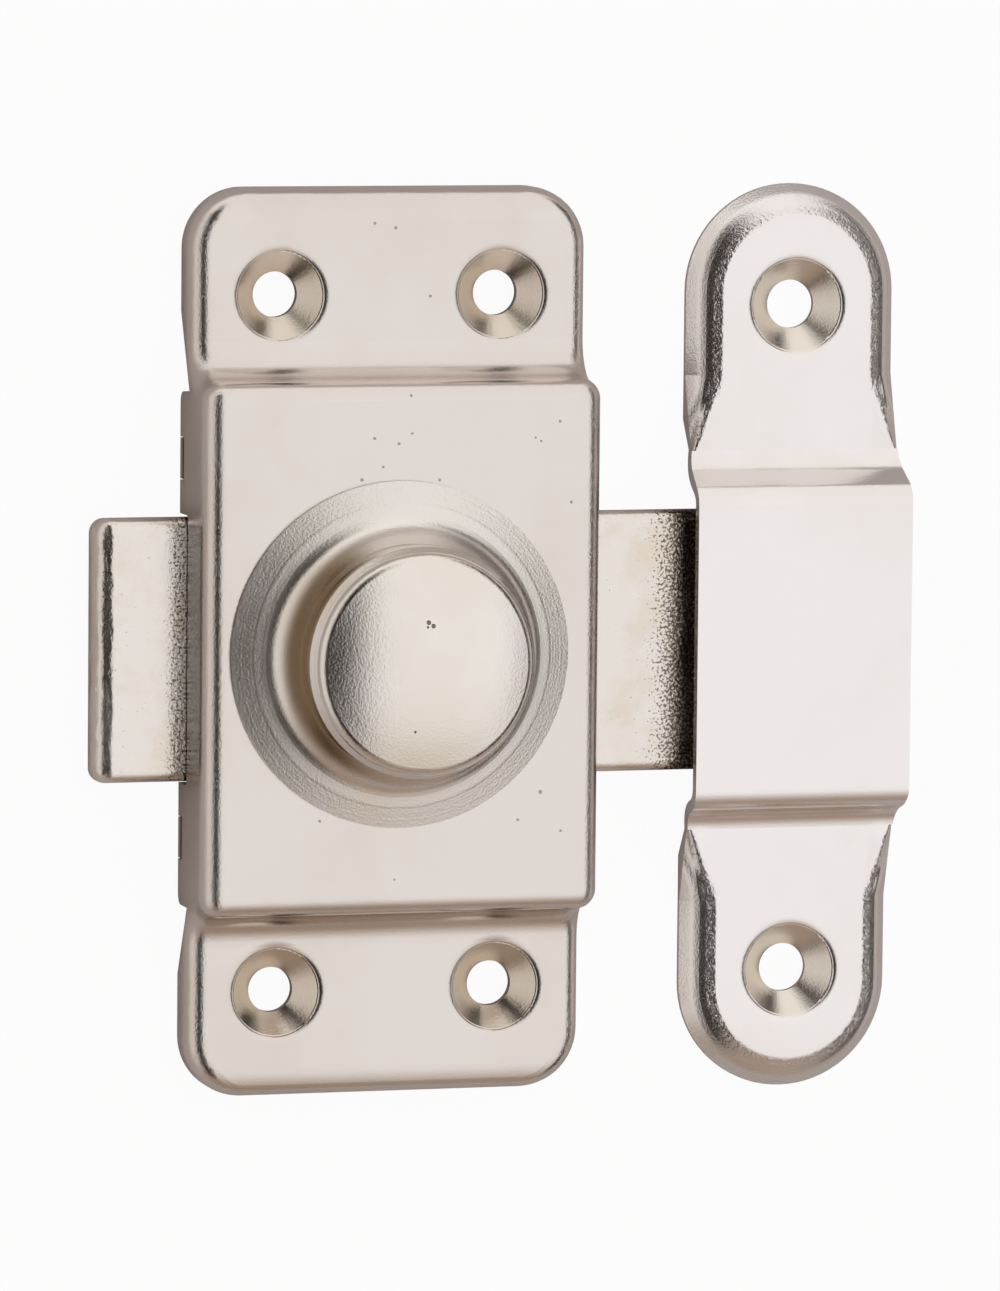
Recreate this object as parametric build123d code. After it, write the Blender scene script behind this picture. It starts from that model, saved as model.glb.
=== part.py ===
from build123d import *
import os
from math import cos, radians, sin, tan

# Slide bolt of pressed and nickelled sheet steel: a case with two lugs, a flat bolt with a turned knob,
# and a separate keeper. Millimetres. The origin is the centre of the case on the plane that both pieces
# are screwed to. +X is the way the bolt is thrown, towards the keeper, +Y runs up the case from lug to
# lug, and +Z points out of the door.

# Sheet and bends. The ends of the lugs fall off a little towards their rims.
sheet = 1.0
bend = 1.8
droop_run = 1.9
droop_fall = 0.85
droop_r = 4.5

# Case
case_length = 80.0
case_width = 36.0
case_height = 9.2
lug_height = 3.6
lug_corner = 5.3
crown_half = 23.2
crown_bend = 1.7
foot_half = 24.0
foot_bend = 3.0
wall_half = 22.6
wall_corner = 1.0
rim_lift = 3.2
rim_foot = 29.2

# Screw holes, pressed in as dimples
screw_r = 2.0
sink_r = 3.9
sink_lip = 0.3
screw_land = 0.8
screw_spacing_x = 20.0
screw_spacing_y = 61.3

# The bolt, its openings in the case and the keeper lie a little below the middle of the screw holes
bolt_y = -0.4

# Keeper
keeper_x = 37.6
keeper_length = 80.9
keeper_width = 19.2
keeper_height = 6.3
keeper_lug_height = 2.8
keeper_lug_corner = 9.55
keeper_bend = 1.8
keeper_bevel = 40.0
keeper_bevel_foot = 0.5
keeper_bridge_width = 19.9
keeper_rim_near = 16.9
keeper_rim_far = 23.5
keeper_rim_start = 0.25
keeper_rim_bend = 0.4
keeper_droop_run = 1.9
keeper_droop_fall = 0.5
keeper_crown_half = 13.9
keeper_crown_shift = -0.5
keeper_crown_bend = 2.1
keeper_foot_half = 15.75
keeper_foot_bend = 2.2
keeper_rim_foot = 19.5
keeper_screw_spacing = 59.5
keeper_screw_r = 2.15
keeper_sink_r = 4.15
keeper_screw_land = 0.5

# Bolt
bolt_width = 23.2
bolt_thickness = 1.8
bolt_floor = 0.85
bolt_left = -26.4
bolt_right = 31.4
bolt_corner = 1.3
bolt_end_round = 1.0
slot_play = 0.25
slot_corner = 0.4

# Knob, on the bolt, which is shown near the middle of its travel
knob_x = -0.5
half_travel = 5.75
skirt_r = 15.2
skirt_gap = 0.1
skirt_edge = 0.4
skirt_rim = 1.8
skirt_hollow = 0.3
bevel_width = 1.7
bevel_tilt = 12.0
cove_low_r = 2.85
cove_low_tilt = 36.0
cove_high_r = 6.5
head_edge = 7.4
head_r = 10.1
side_tilt = 70.0
side_length = 1.2
brow_r = 1.15
dome_tilt = 19.0
shank_r = 3.0
tenon_r = 2.0
rivet_r = 2.9
rivet_sink = 0.5
shank_play = 0.2

# Back plate
plate_thickness = 0.8
plate_play = 0.1
plate_half = 22.2
notch_near = 14.8
notch_far = 18.6
notch_height = 1.3
tab_play = 0.1

# Leaf spring
spring_thickness = 0.4
spring_width = 8.0
spring_seat = 4.6
spring_seat_r = 6.0
spring_knee = 14.1
spring_knee_r = 2.0
spring_rise = 0.2
spring_tip = 16.5
spring_tip_drop = 1.15

bolt_top = bolt_floor + bolt_thickness
crown_under = case_height - sheet

# Room for cuts beyond the pieces, and how near is taken as touching
reach = 60.0
below = 3.0
touch = 0.01


def side_view(length, lug, crown, foot_y, crown_y, foot_r, crown_r, droop_run, droop_fall, shift=0):
    """Side view of a pressing: two lugs that fall off a little at their ends, two steps and a crown."""
    end = length / 2
    half = [(end, -below), (end, lug - droop_fall), (end - droop_run, lug), (foot_y, lug)]
    crown_line = [(shift + crown_y, crown), (shift - crown_y, crown)]
    other_half = [(-y, z) for y, z in reversed(half)]
    with BuildSketch(Plane.YZ) as view:
        with BuildLine():
            Polyline(*half, *crown_line, *other_half, close=True)
        make_face()
        rounded = [(crown_line, crown_r)]
        for y, radius in ((foot_y, foot_r), (end - droop_run, droop_r)):
            rounded.append(([(y, lug), (-y, lug)], radius))
        for corners, radius in rounded:
            for y, z in corners:
                fillet(view.vertices().filter_by(lambda v: abs(v.X - y) + abs(v.Y - z) < touch), radius)
    return view.sketch


def inside(face):
    """The same outline, set in by the thickness of the sheet."""
    return offset(face, -sheet, kind=Kind.INTERSECTION)


def through_x(face):
    return extrude(face, reach, both=True)


def block_of(view, plan):
    """Solid with the given side view and plan."""
    return through_x(view) & extrude(plan, reach, both=True)


def round_rim(block, plan, radius):
    """Round all top edges of a block that lie on the outline of its plan."""
    outline = plan.face().outer_wire()
    rim = []
    for edge in block.edges():
        middle = edge.position_at(0.5)
        on_outline = outline.distance_to(Vertex(middle.X, middle.Y, 0)) < touch
        upright = abs(edge.tangent_at(0.5).Z) > 0.99
        if on_outline and not upright and middle.Z > 0:
            rim.append(edge)
    return fillet(rim, radius)


def add_dimples(piece, places, top, hole_r, mouth_r, land):
    """Press a countersunk screw hole into the sheet at each place and round its mouth."""
    seat = top - (mouth_r - hole_r)
    bottom = seat - land
    under_r = mouth_r + sheet * (2 ** 0.5 - 1)
    foot_r = under_r - (top - sheet - bottom)
    wall_points = [(0, bottom), (foot_r, bottom), (under_r, top - sheet), (under_r, top), (0, top)]
    hole_points = [(0, bottom - 1), (hole_r, bottom - 1), (hole_r, seat), (mouth_r, top), (mouth_r, top + 1),
                   (0, top + 1)]
    wall = revolve(make_face(Plane.XZ * Polyline(*wall_points, close=True)), Axis.Z)
    hole = revolve(make_face(Plane.XZ * Polyline(*hole_points, close=True)), Axis.Z)
    for x, y in places:
        piece += Pos(x, y, 0) * wall
    for x, y in places:
        piece -= Pos(x, y, 0) * hole
    mouths = []
    for edge in piece.edges().filter_by(GeomType.CIRCLE):
        if abs(edge.radius - mouth_r) < touch and abs(edge.arc_center.Z - top) < touch:
            mouths.append(edge)
    return fillet(mouths, sink_lip)


def slot_plan(half_length, radius):
    """Slot along X with round ends, in plan."""
    return SlotCenterToCenter(2 * (half_length - radius), 2 * radius)


def build_case():
    view = side_view(case_length, lug_height, case_height, foot_half, crown_half, foot_bend, crown_bend,
                     droop_run, droop_fall)
    plan = RectangleRounded(case_width, case_length, lug_corner)
    under = inside(view)
    hollow_plan = inside(plan)
    hollow = round_rim(block_of(under, hollow_plan), hollow_plan, bend - sheet)
    case = round_rim(block_of(view, plan), plan, bend) - hollow

    # Between each end of the side walls and the rim of the lug the edge of the sheet is cut away
    for side in (1, -1):
        wall_end = bolt_y + side * wall_half
        start = wall_end - side * wall_corner
        with BuildSketch(Plane.YZ) as gap:
            with BuildLine():
                Line((start, -below), (start, 0))
                RadiusArc((start, 0), (wall_end, wall_corner), -side * wall_corner)
                Polyline((wall_end, wall_corner), (wall_end, rim_lift), (side * rim_foot, 0),
                         (side * rim_foot, -below), (start, -below))
            make_face()
        case -= through_x(gap.sketch & under)

    # Bolt slot and the two notches for the back plate's tabs, open at the bottom edge of both walls
    slot_top = bolt_top + slot_play
    slot_half = bolt_width / 2 + slot_play
    with BuildSketch(Plane.YZ) as openings:
        with Locations((bolt_y, 0)):
            Rectangle(2 * slot_half, 2 * slot_top)
        fillet([v for v in openings.vertices() if v.Y > 0], slot_corner)
        for side in (1, -1):
            with Locations((bolt_y + side * (notch_near + notch_far) / 2, 0)):
                Rectangle(notch_far - notch_near, 2 * notch_height)
    case -= through_x(openings.sketch)

    # Slot in the top for the knob's shank
    shank_slot = slot_plan(half_travel + shank_r + shank_play, shank_r + shank_play)
    case -= Pos(0, bolt_y, crown_under - sheet) * extrude(shank_slot, 3 * sheet)
    case = split(case, Plane.XY, keep=Keep.TOP)

    places = []
    for x in (-screw_spacing_x / 2, screw_spacing_x / 2):
        for y in (-screw_spacing_y / 2, screw_spacing_y / 2):
            places.append((x, y))
    return add_dimples(case, places, lug_height, screw_r, sink_r, screw_land)


def keeper_rim(y, depth, run, radius):
    """Cross section of a keeper lug at y, set in by a depth, whose bevelled rims are this wide in plan."""
    half_width = keeper_width / 2 - depth
    top = keeper_lug_height - depth
    fall = run / tan(radians(keeper_bevel))
    half = [(half_width, -below), (half_width, top - fall), (half_width - run, top)]
    other_half = [(-x, z) for x, z in reversed(half)]
    with BuildSketch(Plane.XZ.offset(-y)) as section:
        with BuildLine():
            Polyline(*half, *other_half, close=True)
        make_face()
        fillet(section.vertices().filter_by(lambda v: v.Y > top - touch), radius)
    return section.sketch


def keeper_skin(view, plan, depth):
    """Solid inside the upper face of the keeper, or with the depth of the sheet inside its lower face."""
    top = keeper_lug_height - depth
    corner_shift = depth * tan(radians(keeper_bevel / 2))
    bevel_foot = keeper_bevel_foot - corner_shift
    run = (top - bevel_foot) * tan(radians(keeper_bevel))
    prism = Pos(0, 0, -below) * extrude(plan, below + bevel_foot)
    prism += Pos(0, 0, bevel_foot) * extrude(plan, top - bevel_foot, taper=keeper_bevel)
    lugs = (through_x(view) & prism) - Box(2 * keeper_width, 2 * keeper_rim_far, 4 * keeper_height)
    tops = []
    for edge in lugs.edges():
        middle = edge.position_at(0.5)
        level = abs(edge.tangent_at(0.5).Z) < 0.5
        upper = middle.Z > (bevel_foot + top) / 2 - keeper_droop_fall
        if level and upper and abs(middle.Y) > keeper_rim_far + touch:
            tops.append(edge)
    lugs = fillet(tops, keeper_bend - depth)

    # The bridge is as wide as the strip was cut, and the rims get wider from the steps to the lugs
    wide = keeper_bridge_width / 2 - depth
    narrow = keeper_width / 2 - depth
    corners = [(wide, keeper_crown_half), (narrow, keeper_rim_near)]
    right = [(x, -y) for x, y in reversed(corners)] + corners
    left = [(-x, y) for x, y in reversed(right)]
    bridge = make_face(Polyline(*right, *left, close=True))
    body = lugs + block_of(view, bridge)
    thin = 1 - 0.8 * depth / sheet
    for side in (1, -1):
        start = keeper_rim(side * keeper_rim_near, depth, thin * keeper_rim_start, thin * keeper_rim_bend)
        end = keeper_rim(side * keeper_rim_far, depth, run, keeper_bend - depth)
        body += loft([start, end], ruled=True)
    return body


def build_keeper():
    view = side_view(keeper_length, keeper_lug_height, keeper_height, keeper_foot_half, keeper_crown_half,
                     keeper_foot_bend, keeper_crown_bend, keeper_droop_run, keeper_droop_fall,
                     keeper_crown_shift)
    plan = RectangleRounded(keeper_width, keeper_length, keeper_lug_corner)
    under = inside(view)
    keeper = keeper_skin(view, plan, 0) - keeper_skin(under, inside(plan), sheet)

    # The bridge has no side walls, and the rims of the lugs run out where the steps begin
    half = [(keeper_rim_near, keeper_height), (keeper_rim_near, keeper_lug_height - sheet),
            (keeper_rim_foot, 0), (keeper_rim_foot, -below)]
    other_half = [(-y, z) for y, z in reversed(half)]
    with BuildSketch(Plane.YZ) as gap:
        with BuildLine():
            Polyline(*half, *other_half, close=True)
        make_face()
    keeper -= through_x(gap.sketch & under)
    keeper = split(keeper, Plane.XY, keep=Keep.TOP)

    places = [(0, -keeper_screw_spacing / 2), (0, keeper_screw_spacing / 2)]
    keeper = add_dimples(keeper, places, keeper_lug_height, keeper_screw_r, keeper_sink_r, keeper_screw_land)
    return Pos(keeper_x, bolt_y, 0) * keeper


def build_bolt():
    length = bolt_right - bolt_left
    plan = RectangleRounded(length, bolt_width, bolt_corner)
    bolt = Pos((bolt_left + bolt_right) / 2, bolt_y, bolt_floor) * extrude(plan, bolt_thickness)
    ends = []
    for edge in bolt.edges():
        middle = edge.position_at(0.5)
        near_end = middle.X < bolt_left + bolt_corner or middle.X > bolt_right - bolt_corner
        if near_end and middle.Z > bolt_top - touch:
            ends.append(edge)
    bolt = fillet(ends, bolt_end_round)
    hole = Pos(knob_x, bolt_y, bolt_floor) * Cylinder(tenon_r, 4 * bolt_thickness)
    sink_points = [(0, 0), (rivet_r, 0), (tenon_r, rivet_sink), (0, rivet_sink)]
    sink = revolve(make_face(Plane.XZ * Polyline(*sink_points, close=True)), Axis.Z)
    return bolt - hole - Pos(knob_x, bolt_y, bolt_floor) * sink


def build_knob():
    base = case_height + skirt_gap
    bevel_r = skirt_r - bevel_width
    bevel_top = base + skirt_edge + bevel_width * tan(radians(bevel_tilt))
    rivet_top = bolt_floor + rivet_sink
    with BuildSketch(Plane.XZ) as half_section:
        with BuildLine():
            Polyline((0, bolt_floor), (rivet_r, bolt_floor), (tenon_r, rivet_top), (tenon_r, bolt_top),
                     (shank_r, bolt_top),
                     (shank_r, base + skirt_hollow), (skirt_r - skirt_rim, base + skirt_hollow),
                     (skirt_r - skirt_rim, base), (skirt_r, base), (skirt_r, base + skirt_edge),
                     (bevel_r, bevel_top))
            # The skirt rises into the neck in a cove that opens out downwards
            bevel = (-cos(radians(bevel_tilt)), sin(radians(bevel_tilt)))
            low = JernArc((bevel_r, bevel_top), bevel, cove_low_r, bevel_tilt - cove_low_tilt)
            high = JernArc(low @ 1, low % 1, cove_high_r, cove_low_tilt - 90)
            # The head overhangs the neck with a sharp edge, a steep side, a rounded brow and a low dome
            edge = (head_r, base + head_edge)
            TangentArc(high @ 1, edge, tangent=(0, 1))
            side = PolarLine(edge, side_length, 180 - side_tilt)
            brow = JernArc(side @ 1, side % 1, brow_r, side_tilt - dome_tilt)
            dome_r = (brow @ 1).X / sin(radians(dome_tilt))
            dome = JernArc(brow @ 1, brow % 1, dome_r, dome_tilt)
            Line(dome @ 1, (0, bolt_floor))
        make_face()
    return Pos(knob_x, bolt_y, 0) * revolve(half_section.sketch, Axis.Z)


def build_back_plate():
    half_width = case_width / 2 - sheet - plate_play
    plate = Box(2 * half_width, 2 * plate_half, plate_thickness)
    tab_middle = (notch_near + notch_far) / 2
    tab_width = notch_far - notch_near - 2 * tab_play
    for side in (1, -1):
        plate += Pos(0, side * tab_middle, 0) * Box(case_width, tab_width, plate_thickness)
    return Pos(0, bolt_y, plate_thickness / 2) * plate


def build_leaf_spring():
    seat_z = bolt_top + spring_thickness / 2
    top_z = crown_under - spring_thickness / 2 + spring_rise
    tip_z = top_z - spring_tip_drop
    with BuildSketch(Plane.YZ) as strip:
        with BuildLine() as centre_line:
            FilletPolyline((-spring_tip, tip_z), (-spring_knee, top_z), (-spring_seat, seat_z),
                           (spring_seat, seat_z), (spring_knee, top_z), (spring_tip, tip_z),
                           radius=(spring_knee_r, spring_seat_r, spring_seat_r, spring_knee_r))
        trace(centre_line.line, spring_thickness)
    spring = extrude(strip.sketch, spring_width / 2, both=True)
    spring -= Cylinder(shank_r + shank_play, 4 * case_height)
    return Pos(knob_x, bolt_y, 0) * spring


def main():
    os.makedirs("parts", exist_ok=True)
    pieces = {
        "case": build_case(),
        "back_plate": build_back_plate(),
        "bolt": build_bolt(),
        "knob": build_knob(),
        "leaf_spring": build_leaf_spring(),
        "keeper": build_keeper(),
    }
    for name, piece in pieces.items():
        export_step(piece, f"parts/{name}.step")
        print(name, round(piece.volume, 1))


main()
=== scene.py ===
import bpy
from math import cos, radians, sin
from mathutils import Matrix, Vector

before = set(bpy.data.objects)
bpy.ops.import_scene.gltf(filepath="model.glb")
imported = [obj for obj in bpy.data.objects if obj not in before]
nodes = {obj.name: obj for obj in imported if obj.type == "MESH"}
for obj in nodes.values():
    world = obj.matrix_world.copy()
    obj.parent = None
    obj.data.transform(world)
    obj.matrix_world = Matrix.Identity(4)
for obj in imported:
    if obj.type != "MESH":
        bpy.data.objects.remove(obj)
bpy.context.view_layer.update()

# Case: one sheet of mild steel 1 mm thick, pressed to a box with two lugs and nickelled in a barrel.
# Four screws in its dimpled holes fix it. The nickel is smooth on the flats, grainy where the sheet
# was stretched round the bends, and keeps the small pits of parts that tumbled together.


def linear(code):
    """sRGB hex colour as a linear RGBA value."""
    values = [int(code[i:i + 2], 16) / 255 for i in (1, 3, 5)]
    return tuple(v / 12.92 if v <= 0.04045 else ((v + 0.055) / 1.055) ** 2.4 for v in values) + (1.0,)


def add_node(owner, kind, inputs=(), output=0, **settings):
    """Add one shader node with its settings and links, and return one of its outputs.

    Inputs come in their order, or by name or number; each is a socket to link or a plain value."""
    node = owner.node_tree.nodes.new("ShaderNode" + kind)
    for name, value in settings.items():
        setattr(node, name, value)
    for name, value in inputs.items() if isinstance(inputs, dict) else enumerate(inputs):
        if isinstance(value, bpy.types.NodeSocket):
            owner.node_tree.links.new(value, node.inputs[name])
        else:
            node.inputs[name].default_value = value
    return node.outputs[output] if node.outputs else node


# A Map Range that starts and ends softly, and a Mix of two colours, which are its inputs 6 and 7
soft = {"interpolation_type": "SMOOTHERSTEP"}
colours = {"data_type": "RGBA", "output": 2}


def distance_from(material, place, centre, mirrored=False):
    """Distance in plan from a centre in millimetres, or from its mirror images on all four sides."""
    if mirrored:
        place = add_node(material, "VectorMath", (place,), operation="ABSOLUTE")
    middle = (centre[0] / 1000, centre[1] / 1000, 0.0)
    offset = add_node(material, "VectorMath", (place, middle), operation="SUBTRACT")
    in_plan = add_node(material, "VectorMath", (offset, (1.0, 1.0, 0.0)), operation="MULTIPLY")
    return add_node(material, "VectorMath", (in_plan,), "Value", operation="LENGTH")


def sink_form(material, away, mouth_mm):
    """Height of a pressed screw hole against a true cone: a flatter seat and a lip that is drawn in."""
    mouth, lip_width, seat_slope, lip_curve = mouth_mm / 1000, 0.00075, -0.2, -330.0
    on_cone = add_node(material, "Math", (away, mouth), operation="MINIMUM")
    seat = add_node(material, "Math", (on_cone, seat_slope), operation="MULTIPLY")
    outside = add_node(material, "Math", (away, mouth), operation="MAXIMUM")
    inward = add_node(material, "Math", (mouth + lip_width, outside), operation="SUBTRACT")
    on_lip = add_node(material, "Math", (inward, 0.0), operation="MAXIMUM")
    squared = add_node(material, "Math", (on_lip, 2.0), operation="POWER")
    drawn = add_node(material, "Math", (squared, lip_curve), operation="MULTIPLY")
    return add_node(material, "Math", (seat, drawn), operation="ADD")


def grain_scale(size_mm):
    """Noise scale whose spots are about this many millimetres across."""
    return 1000.0 / (2.0 * size_mm)


def pits(material, place, spots):
    """Mask of small pits, given by their centre and radius in millimetres, with ragged edges."""
    ragged_mm, rim, bottom = 0.15, 1.0, 0.6
    noise = add_node(material, "TexNoise", {"Vector": place, "Scale": grain_scale(ragged_mm)})
    ragged = add_node(material, "Math", (noise, 0.5), operation="SUBTRACT")
    mask = 0.0
    for x, y, radius in spots:
        away = distance_from(material, place, (x, y))
        radii_away = add_node(material, "Math", (away, 1000.0 / radius), operation="MULTIPLY")
        edge = add_node(material, "Math", (radii_away, ragged), operation="ADD")
        pit = add_node(material, "MapRange", (edge, rim, bottom), **soft)
        mask = add_node(material, "Math", (mask, pit), operation="MAXIMUM")
    return mask


def steel_surface(name, light, shade, patch_mm, grain_mm, grain_depth_mm, smoothest, roughest):
    """Nickelled or bare steel: slow patches of tint and of roughness, and a fine pitted grain.

    A real grain is a few hundredths of a millimetre across, and is drawn coarser so that it shows.
    Returns the material, its Object coordinates, its tint, its roughness and its grain's height."""
    material = bpy.data.materials.new(name)
    material.use_nodes = True
    place = add_node(material, "TexCoord", output="Object")
    patches = add_node(material, "TexNoise", {"Vector": place, "Scale": grain_scale(patch_mm),
                                              "Detail": 4.0, "Roughness": 0.6})
    grain = add_node(material, "TexNoise", {"Vector": place, "Scale": grain_scale(grain_mm),
                                            "Detail": 3.0, "Roughness": 0.6})
    # The noise lies between about 0.3 and 0.7
    lit = add_node(material, "MapRange", (patches, 0.3, 0.62), **soft)
    tint = add_node(material, "Mix", {0: lit, 6: linear(shade), 7: linear(light)}, **colours)
    roughness = add_node(material, "MapRange", (patches, 0.3, 0.7, smoothest, roughest), **soft)
    height = add_node(material, "Math", (grain, grain_depth_mm / 1000), operation="MULTIPLY")
    return material, place, tint, roughness, height


def dress(node, material, tint, roughness, height):
    """Finish a metal with its tint, its roughness and a relief in metres, and put it on its part."""
    relief = add_node(material, "Bump", {"Strength": 1.0, "Distance": 1.0, "Height": height})
    shader = material.node_tree.nodes["Principled BSDF"]
    shader.inputs["Metallic"].default_value = 1.0
    for name, socket in (("Base Color", tint), ("Roughness", roughness), ("Normal", relief)):
        material.node_tree.links.new(socket, shader.inputs[name])
    nodes[node].data.materials.clear()
    nodes[node].data.materials.append(material)


# Sizes are in metres unless their comment says millimetres; a pair is where a change starts and ends
case_hole = (10.0, 30.65)             # screw hole in mm, of which the other three are mirror images
case_mouth = 3.9                      # radius of its mouth in mm
case_hole_reflection = (0.0043, 0.0036)     # edge of its painted warm reflection, from its centre
side_bend = (0.0155, 0.0168)          # bend at the side walls, from the middle of the case
side_grain = (1.0, 3.2)               # how the grain grows on that bend
case_pit_depth, case_pit_tone = -0.00004, 0.5

# Pits in mm, as x, y and radius
case_pits = [(0.4, 22.2, 0.12), (15.0, 12.7, 0.14), (13.9, 19.8, 0.14), (11.7, 18.4, 0.12),
             (12.2, 18.1, 0.10), (-2.9, 18.5, 0.15), (0.5, 18.9, 0.12), (3.0, 14.8, 0.12),
             (-0.7, 18.0, 0.14), (-4.0, 14.9, 0.16), (-2.1, 16.0, 0.12), (10.4, -15.2, 0.12),
             (12.4, -12.8, 0.18), (14.3, -16.3, 0.12), (-7.6, -14.9, 0.12), (-0.8, -20.2, 0.1),
             (-1.5, 36.9, 0.14), (0.4, 36.5, 0.14), (3.6, 30.5, 0.12)]

# Satin nickel over pressed steel gives a cream white with a soft wide shine, and a painted warm
# reflection makes the pressed holes a little browner
case_steel, place, tint, roughness, height = steel_surface(
    "satin_nickel_on_pressed_steel", light="#E3DBD6", shade="#DDD4CD", patch_mm=9.0,
    grain_mm=0.11, grain_depth_mm=0.012, smoothest=0.18, roughest=0.24)
away = distance_from(case_steel, place, case_hole, mirrored=True)
# Painted warm reflection: the pressed holes are tinted browner, as light bouncing in the cone would
# make them
painted_hole_reflection = add_node(case_steel, "MapRange", (away, *case_hole_reflection), **soft)
with_painted_reflection = add_node(case_steel, "Mix", {0: painted_hole_reflection, 6: tint, 7: linear("#DDD2C4")}, **colours)
marks = pits(case_steel, place, case_pits)
shown = add_node(case_steel, "Math", (marks, case_pit_tone), operation="MULTIPLY")
dotted = add_node(case_steel, "Mix", {0: shown, 6: with_painted_reflection, 7: linear("#5A4A40")}, **colours)
folded = add_node(case_steel, "VectorMath", (place,), operation="ABSOLUTE")
sideways = add_node(case_steel, "SeparateXYZ", (folded,), "X")
stretched = add_node(case_steel, "MapRange", (sideways, *side_bend, *side_grain), **soft)
grain = add_node(case_steel, "Math", (height, stretched), operation="MULTIPLY")
sunk = sink_form(case_steel, away, case_mouth)
pressed = add_node(case_steel, "Math", (grain, sunk), operation="ADD")
dents = add_node(case_steel, "Math", (marks, case_pit_depth), operation="MULTIPLY")
relief = add_node(case_steel, "Math", (pressed, dents), operation="ADD")
dress("case", case_steel, dotted, roughness, relief)


# Back plate: a nickelled sheet 0.8 mm thick that closes the case from below and carries the bolt. Its
# four tabs lie in the notches of the side walls.

# Thin nickel that sees no wear gives an even grey, duller than the case
plate_steel, _, tint, roughness, height = steel_surface(
    "dull_nickel_on_thin_sheet", light="#D8CFC7", shade="#CBC0B6", patch_mm=6.0,
    grain_mm=0.2, grain_depth_mm=0.006, smoothest=0.30, roughest=0.38)
dress("back_plate", plate_steel, tint, roughness, height)


# Bolt: a flat bar of rolled steel with rounded ends, nickelled and then held on the knob's shank by
# peening. Its left end falls off softly, and dark specks of painted shade lie on it beside the case and
# the keeper.

# Places are along the bar; where four numbers stand, the last two are the values before and after
fall_start, fall_slope = -0.0251, -0.42                  # the fall at the left end
fall_waver, waver_mm, fall_softness = 0.0008, 1.5, 0.0004
end_grain = (-0.0238, -0.0250, 1.0, 3.2)                 # rough grain at the left end
inner_grain = (-0.0205, -0.0186, 0.0, 1.0)               # added to it from the case on
shade_to_case = (-0.0207, -0.0186, 0.0, 0.5)              # painted shade in dark specks that thickens up to the case
shade_in_case = (-0.0150, -0.0180)                        # and ends inside its wall
# Painted shade in dark specks that thickens up to the keeper
shade_to_keeper = (0.0225, 0.0272, 0.0, 0.75)
speck_mm, speck_level, speck_drop = 0.12, 0.72, 0.35     # noise from which a speck shows, and its
speck_edge, speck_tone = (-0.03, 0.06), 0.85             # drop in the thickest painted shade

# Thin nickel over a rolled bar gives a bright white with warm blotches and a coarser sparkle
bolt_steel, place, tint, roughness, height = steel_surface(
    "mottled_nickel_on_rolled_bar", light="#E9E2DC", shade="#E0D5C8", patch_mm=3.0,
    grain_mm=0.15, grain_depth_mm=0.017, smoothest=0.15, roughest=0.25)
along = add_node(bolt_steel, "SeparateXYZ", (place,), "X")
uneven = add_node(bolt_steel, "TexNoise", {"Vector": place, "Scale": grain_scale(waver_mm)})
start = add_node(bolt_steel, "Math", (uneven, fall_waver, fall_start), operation="MULTIPLY_ADD")
before = add_node(bolt_steel, "Math", (start, along), operation="SUBTRACT")
eased = add_node(bolt_steel, "Math", (before, 0.0, fall_softness), operation="SMOOTH_MAX")
fall = add_node(bolt_steel, "Math", (eased, fall_slope), operation="MULTIPLY")
at_end = add_node(bolt_steel, "MapRange", (along, *end_grain), **soft)
inside = add_node(bolt_steel, "MapRange", (along, *inner_grain), **soft)
worn = add_node(bolt_steel, "Math", (at_end, inside), operation="ADD")
# Dark specks of painted shade, thickest beside the case and the keeper where those parts shade the bar
specks = add_node(bolt_steel, "TexNoise", {"Vector": place, "Scale": grain_scale(speck_mm),
                                           "Detail": 2.0})
to_case = add_node(bolt_steel, "MapRange", (along, *shade_to_case), **soft)
in_case = add_node(bolt_steel, "MapRange", (along, *shade_in_case), **soft)
near_case = add_node(bolt_steel, "Math", (to_case, in_case), operation="MULTIPLY")
near_keeper = add_node(bolt_steel, "MapRange", (along, *shade_to_keeper), **soft)
share = add_node(bolt_steel, "Math", (near_case, near_keeper), operation="ADD")
lower = add_node(bolt_steel, "Math", (share, speck_drop), operation="MULTIPLY")
level = add_node(bolt_steel, "Math", (speck_level, lower), operation="SUBTRACT")
over = add_node(bolt_steel, "Math", (specks, level), operation="SUBTRACT")
painted_shade_specks = add_node(bolt_steel, "MapRange", (over, *speck_edge), **soft)
shown = add_node(bolt_steel, "Math", (painted_shade_specks, speck_tone), operation="MULTIPLY")
shade_speckled = add_node(bolt_steel, "Mix", {0: shown, 6: tint, 7: linear("#5E4E3E")}, **colours)
grain = add_node(bolt_steel, "Math", (height, worn), operation="MULTIPLY")
relief = add_node(bolt_steel, "Math", (grain, fall), operation="ADD")
dress("bolt", bolt_steel, shade_speckled, roughness, relief)


# Knob: turned from steel bar in one piece with its shank, then nickelled. The skirt's bevel is rough
# from the tool, the foot of the neck runs softly into the skirt, and the head is polished and has a
# few small pits.

knob_axis = (-0.5, -0.4)                     # in mm, from the middle of the case
bevel_edge = (0.0126, 0.0134)                # edge of the skirt's bevel, from the axis
bevel_start, bevel_slope = 0.0133, -0.13     # the part of the bevel that is steeper
bevel_grain = 0.6                            # how much more grain the bevel has
turning_mm, turning_depth = 0.1, 0.000008    # turning marks on the bevel
foot_blend = (0.0112, 0.0133, 0.0, 0.00037)  # blend at the foot of the neck, and its height
head_edge, head_slope = (0.0097, 0.0101), 0.95          # the edge of the head opens up
rough_skirt, skirt_roughness = (0.0112, 0.0128), 0.13   # how much rougher the skirt is

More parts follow.
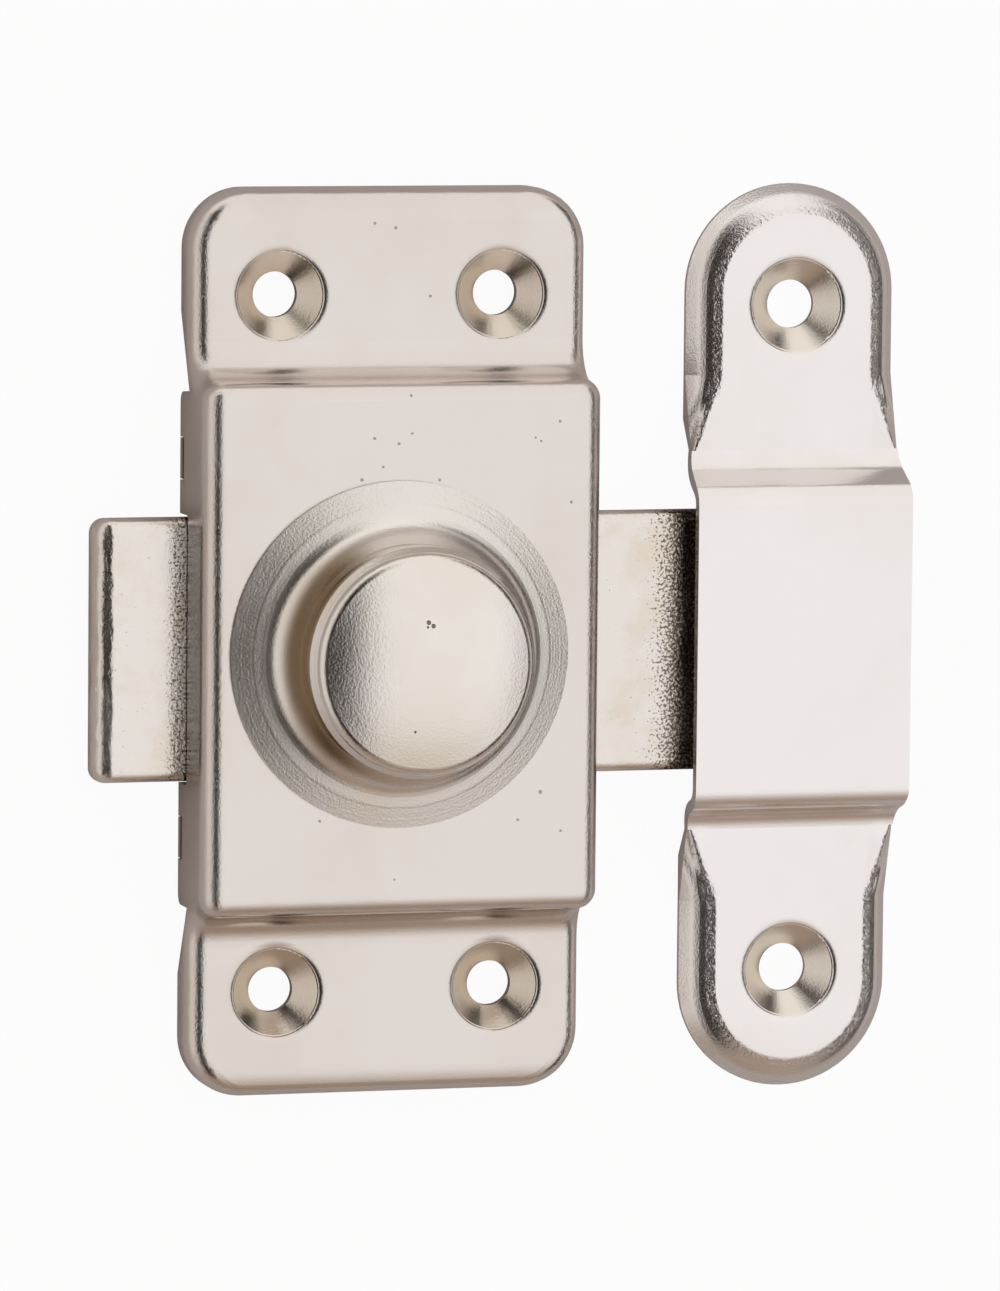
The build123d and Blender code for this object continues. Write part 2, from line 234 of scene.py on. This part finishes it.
# The painted brown reflection in the neck: by the distance from the axis, by height, and towards the
# left
neck_radius, neck_top, neck_side = (0.0118, 0.0104), (0.0168, 0.0160), (-0.0020, -0.0085)
knob_pit_depth, knob_pit_tone = -0.0001, 0.8

# Pits in mm, as x, y and radius
knob_pits = [(-0.8, 3.4, 0.22), (-0.4, 3.1, 0.20), (-0.9, 3.0, 0.12), (-1.85, -6.1, 0.12)]

# Satin nickel over turned steel gives the brightest white, with fine rings on the bevel, and a painted
# brown reflection low in the left of the neck
knob_steel, place, tint, roughness, height = steel_surface(
    "satin_nickel_on_turned_steel", light="#EDE7E2", shade="#E7DFD6", patch_mm=7.0,
    grain_mm=0.11, grain_depth_mm=0.022, smoothest=0.16, roughest=0.22)
away = distance_from(knob_steel, place, knob_axis)
bevel = add_node(knob_steel, "MapRange", (away, *bevel_edge), **soft)
rings = add_node(knob_steel, "TexNoise", {"W": away, "Scale": grain_scale(turning_mm), "Detail": 2.0},
                 noise_dimensions="1D")
on_bevel = add_node(knob_steel, "Math", (rings, bevel), operation="MULTIPLY")
grooves = add_node(knob_steel, "Math", (on_bevel, turning_depth), operation="MULTIPLY")
coarser = add_node(knob_steel, "Math", (bevel, bevel_grain, 1.0), operation="MULTIPLY_ADD")
coarse = add_node(knob_steel, "Math", (height, coarser), operation="MULTIPLY")
blended = add_node(knob_steel, "MapRange", (away, *foot_blend), **soft)
past_edge = add_node(knob_steel, "Math", (away, head_edge[0]), operation="MAXIMUM")
on_edge = add_node(knob_steel, "Math", (past_edge, head_edge[1]), operation="MINIMUM")
opened = add_node(knob_steel, "Math", (on_edge, head_slope), operation="MULTIPLY")
past_start = add_node(knob_steel, "Math", (away, bevel_start), operation="MAXIMUM")
steeper = add_node(knob_steel, "Math", (past_start, bevel_slope), operation="MULTIPLY")
marks = pits(knob_steel, place, knob_pits)
surface = add_node(knob_steel, "Math", (coarse, grooves), operation="ADD")
softened = add_node(knob_steel, "Math", (blended, opened), operation="ADD")
profile = add_node(knob_steel, "Math", (softened, steeper), operation="ADD")
turned = add_node(knob_steel, "Math", (surface, profile), operation="ADD")
dents = add_node(knob_steel, "Math", (marks, knob_pit_depth), operation="MULTIPLY")
relief = add_node(knob_steel, "Math", (turned, dents), operation="ADD")
on_skirt = add_node(knob_steel, "MapRange", (away, *rough_skirt), **soft)
rougher = add_node(knob_steel, "Math", (on_skirt, skirt_roughness, roughness), operation="MULTIPLY_ADD")
# Painted brown reflection low in the left of the neck, where the cove would mirror the head's underside
close = add_node(knob_steel, "MapRange", (away, *neck_radius), **soft)
upwards = add_node(knob_steel, "SeparateXYZ", (place,), "Z")
low = add_node(knob_steel, "MapRange", (upwards, *neck_top), **soft)
sideways = add_node(knob_steel, "SeparateXYZ", (place,), "X")
left = add_node(knob_steel, "MapRange", (sideways, *neck_side), **soft)
close_and_low = add_node(knob_steel, "Math", (close, low), operation="MULTIPLY")
painted_neck_reflection = add_node(knob_steel, "Math", (close_and_low, left), operation="MULTIPLY")
with_painted_reflection = add_node(knob_steel, "Mix", {0: painted_neck_reflection, 6: tint, 7: linear("#9A866C")}, **colours)
shown = add_node(knob_steel, "Math", (marks, knob_pit_tone), operation="MULTIPLY")
dotted = add_node(knob_steel, "Mix", {0: shown, 6: with_painted_reflection, 7: linear("#3A2C20")}, **colours)
dress("knob", knob_steel, dotted, rougher, relief)


# Leaf spring: a strip of spring steel 0.4 mm thick, bowed along its length and pierced for the knob's
# shank. It sits between the bolt and the top of the case and is hidden by the case.

# Hardened and rolled steel, left bare, gives a dull blue grey
spring_steel, _, tint, roughness, height = steel_surface(
    "blue_grey_spring_steel", light="#A9A8A8", shade="#8F8D8C", patch_mm=4.0,
    grain_mm=0.2, grain_depth_mm=0.004, smoothest=0.30, roughest=0.38)
dress("leaf_spring", spring_steel, tint, roughness, height)


# Keeper: one sheet of mild steel 1 mm thick, pressed to a bridge between two lugs with round ends,
# nickelled with the case and fixed with two screws. Its rims lean out in a soft bend, and its two
# tips fall off.

keeper_middle = (0.0376, -0.0004, 0.0)
keeper_hole, keeper_mouth = (0.0, 29.75), 4.15    # screw hole from there, and its mouth, in mm
# Edge of the painted warm reflection in its screw holes, from their centre
keeper_hole_reflection = (0.0046, 0.0038)

# From the middle towards a tip
lug_start, end_centre = (0.0160, 0.0188), 0.0309  # start of a lug, and centre of its round end
tip_start, tip_curve = 0.0335, -14.0              # the fall of the tip
bend_shift = (0.0240, 0.0170, 0.0, 0.0017)        # how much farther out the bend is at the bridge

# From a lug's spine: the rim that leans out, and its bend, which drops and rises again
rim_start, rim_slope = 0.0072, 0.12
bend_drop, bend_rise = (0.0067, 0.0081, 0.0, -0.00022), (0.0076, 0.0090, 0.0, 0.00029)
speckle_mm, ragged_by = 0.16, 0.0003              # how the drop's edge is broken up
bend_grain = (0.0055, 0.0066, 0.0, 1.6)           # how much more grain the bend has

# Bright satin nickel over pressed steel gives a cooler and clearer white than the case
keeper_steel, place, tint, roughness, height = steel_surface(
    "bright_satin_nickel_on_pressed_steel", light="#F0EBEA", shade="#EBE5E2", patch_mm=10.0,
    grain_mm=0.11, grain_depth_mm=0.011, smoothest=0.17, roughest=0.22)
centred = add_node(keeper_steel, "VectorMath", (place, keeper_middle), operation="SUBTRACT")
away = distance_from(keeper_steel, centred, keeper_hole, mirrored=True)
folded = add_node(keeper_steel, "VectorMath", (centred,), operation="ABSOLUTE")
reach = add_node(keeper_steel, "SeparateXYZ", (folded,), "Y")
sideways = add_node(keeper_steel, "SeparateXYZ", (folded,), "X")
past_centre = add_node(keeper_steel, "Math", (reach, end_centre), operation="SUBTRACT")
beyond = add_node(keeper_steel, "Math", (past_centre, 0.0), operation="MAXIMUM")
sideways_squared = add_node(keeper_steel, "Math", (sideways, 2.0), operation="POWER")
beyond_squared = add_node(keeper_steel, "Math", (beyond, 2.0), operation="POWER")
squares = add_node(keeper_steel, "Math", (sideways_squared, beyond_squared), operation="ADD")
from_spine = add_node(keeper_steel, "Math", (squares,), operation="SQRT")
past_rim = add_node(keeper_steel, "Math", (from_spine, rim_start), operation="SUBTRACT")
on_rim = add_node(keeper_steel, "Math", (past_rim, 0.0), operation="MAXIMUM")
leaning = add_node(keeper_steel, "Math", (on_rim, rim_slope), operation="MULTIPLY")
shift = add_node(keeper_steel, "MapRange", (reach, *bend_shift), **soft)
from_bend = add_node(keeper_steel, "Math", (from_spine, shift), operation="SUBTRACT")
speckle = add_node(keeper_steel, "TexNoise", {"Vector": place, "Scale": grain_scale(speckle_mm),
                                              "Detail": 2.0})
ragged = add_node(keeper_steel, "Math", (speckle, ragged_by, from_bend), operation="MULTIPLY_ADD")
drop = add_node(keeper_steel, "MapRange", (ragged, *bend_drop), **soft)
rise = add_node(keeper_steel, "MapRange", (from_bend, *bend_rise), **soft)
soft_bend = add_node(keeper_steel, "Math", (drop, rise), operation="ADD")
on_lug = add_node(keeper_steel, "MapRange", (reach, *lug_start), **soft)
leaning_bend = add_node(keeper_steel, "Math", (leaning, soft_bend), operation="ADD")
lean_out = add_node(keeper_steel, "Math", (leaning_bend, on_lug), operation="MULTIPLY")
past_start = add_node(keeper_steel, "Math", (reach, tip_start), operation="SUBTRACT")
past_tip = add_node(keeper_steel, "Math", (past_start, 0.0), operation="MAXIMUM")
past_squared = add_node(keeper_steel, "Math", (past_tip, 2.0), operation="POWER")
fall = add_node(keeper_steel, "Math", (past_squared, tip_curve), operation="MULTIPLY")
# Painted warm reflection: the pressed holes are tinted browner, as light bouncing in the cone would
# make them
painted_hole_reflection = add_node(keeper_steel, "MapRange", (away, *keeper_hole_reflection), **soft)
with_painted_reflection = add_node(keeper_steel, "Mix", {0: painted_hole_reflection, 6: tint, 7: linear("#E8E0D6")}, **colours)
on_bend = add_node(keeper_steel, "MapRange", (from_bend, *bend_grain), **soft)
stretched = add_node(keeper_steel, "Math", (on_bend, on_lug, 1.0), operation="MULTIPLY_ADD")
grain = add_node(keeper_steel, "Math", (height, stretched), operation="MULTIPLY")
sunk = sink_form(keeper_steel, away, keeper_mouth)
pressed = add_node(keeper_steel, "Math", (grain, sunk), operation="ADD")
bent = add_node(keeper_steel, "Math", (lean_out, fall), operation="ADD")
relief = add_node(keeper_steel, "Math", (pressed, bent), operation="ADD")
dress("keeper", keeper_steel, with_painted_reflection, roughness, relief)


# Floor: a wide sheet of pale paper, just under the parts, which lie on it. To the camera it is white
# with the parts' shadow; in the nickel it shows as the warm grey sheet that it is.

floor_width, floor_gap, paper_glow = 3.0, 0.0002, 0.95
bpy.ops.object.select_all(action="DESELECT")
bpy.ops.mesh.primitive_plane_add(size=floor_width, location=(0.0, 0.0, -floor_gap))
floor = bpy.context.object
floor.name = "floor"
paper = bpy.data.materials.new("pale_paper")
paper.use_nodes = True
paper.node_tree.nodes.clear()
to_camera = add_node(paper, "LightPath", output="Is Camera Ray")
pale = add_node(paper, "BsdfDiffuse", {"Color": linear("#F4F2F0")})
warm = add_node(paper, "BsdfDiffuse", {"Color": linear("#DCD5D2")})
glow = add_node(paper, "Emission", {"Color": linear("#FFFFFF"), "Strength": 1.0})
white = add_node(paper, "MixShader", (paper_glow, pale, glow))
seen = add_node(paper, "MixShader", (to_camera, warm, white))
add_node(paper, "OutputMaterial", {"Surface": seen})
floor.data.materials.append(paper)


# Light: a white tent that hangs like a tunnel along the length of the case. On the camera side it is
# open from near the top down to a grey wall; to the right it ends in a black gap above the table.

world = bpy.data.worlds.new("white_tent")
bpy.context.scene.world = world
world.use_nodes = True
world.node_tree.nodes.clear()


def tent_colours(place, bands):
    """Colour of the tent at a place, from a list of places and their colours in rising order."""
    start, end = bands[0][0], bands[-1][0]
    share = add_node(world, "MapRange", (place, start, end))
    shade = add_node(world, "ValToRGB", (share,))
    elements = shade.node.color_ramp.elements
    for stop, code in bands[1:-1]:
        elements.new((stop - start) / (end - start)).color = linear(code)
    elements[0].color, elements[-1].color = linear(bands[0][1]), linear(bands[-1][1])
    return shade


# The tunnel from left to right, in degrees off the zenith
direction = add_node(world, "TexCoord", output="Generated")
to_right = add_node(world, "SeparateXYZ", (direction,), "X")
upwards = add_node(world, "SeparateXYZ", (direction,), "Z")
lean = add_node(world, "Math", (to_right, upwards), operation="ARCTAN2")
degrees_off = add_node(world, "Math", (lean,), operation="DEGREES")
tunnel = tent_colours(degrees_off, [
    (-120, "#E6E2DE"), (-50, "#E6E2DE"), (-46, "#342E2C"), (-13, "#2C2624"),
    (-8.5, "#FAFAFA"), (0, "#FFFFFF"), (52, "#FFFFFF"), (55, "#D8D2CC"),
    (57, "#181413"), (74, "#181413"), (84, "#D8D0CA"), (120, "#D8D0CA")])

# Its two ends, by the sine of the angle towards the lower and the upper lug of the case
lengthways = add_node(world, "SeparateXYZ", (direction,), "Y")
ends = tent_colours(lengthways, [(-1.0, "#A6968A"), (-0.9, "#A69484"), (-0.7, "#D6CEC6"),
                                 (-0.45, "#FAF8F6"), (0.0, "#FFFFFF"), (1.0, "#FFFCF8")])
end_share = tent_colours(lengthways, [(-1.0, "#FFFFFF"), (-0.9, "#FFFFFF"), (-0.75, "#000000"),
                                      (0.72, "#000000"), (0.9, "#FFFFFF"), (1.0, "#FFFFFF")])
shaded = add_node(world, "Mix", {0: 1.0, 6: tunnel, 7: ends}, blend_type="MULTIPLY", **colours)
light = add_node(world, "Mix", {0: end_share, 6: shaded, 7: ends}, **colours)
background = add_node(world, "Background", {"Color": light, "Strength": 1.0})
add_node(world, "OutputWorld", {"Surface": background})


# Camera: a long lens 0.8 m above the parts, a little to their left and towards the upper lug. One
# millimetre of the parts takes about 11 of the picture's 1291 rows.

yaw, pitch, roll = radians(16.1), radians(5.8), radians(0.53)
distance, aim = 0.8, Vector((0.01127, -0.00078, 0.0))
rows, rows_per_mm, sensor_mm, nearest = 1291.0, 11.29, 32.0, 0.01
back = Vector((-sin(yaw) * cos(pitch), sin(pitch), cos(yaw) * cos(pitch)))
right = (-back).cross(Vector((0.0, 1.0, 0.0))).normalized()
up = right.cross(-back)
rolled_right = right * cos(roll) + up * sin(roll)
rolled_up = up * cos(roll) - right * sin(roll)
camera_data = bpy.data.cameras.new("camera")
camera = bpy.data.objects.new("camera", camera_data)
bpy.context.scene.collection.objects.link(camera)
turn = Matrix((rolled_right, rolled_up, back)).transposed().to_4x4()
camera.matrix_world = Matrix.Translation(aim + back * distance) @ turn
camera_data.sensor_fit = "VERTICAL"
camera_data.sensor_height = sensor_mm
camera_data.lens = sensor_mm * rows_per_mm * distance * 1000.0 / rows
camera_data.clip_start = nearest
bpy.context.scene.camera = camera

bpy.context.scene.view_settings.view_transform = "Standard"
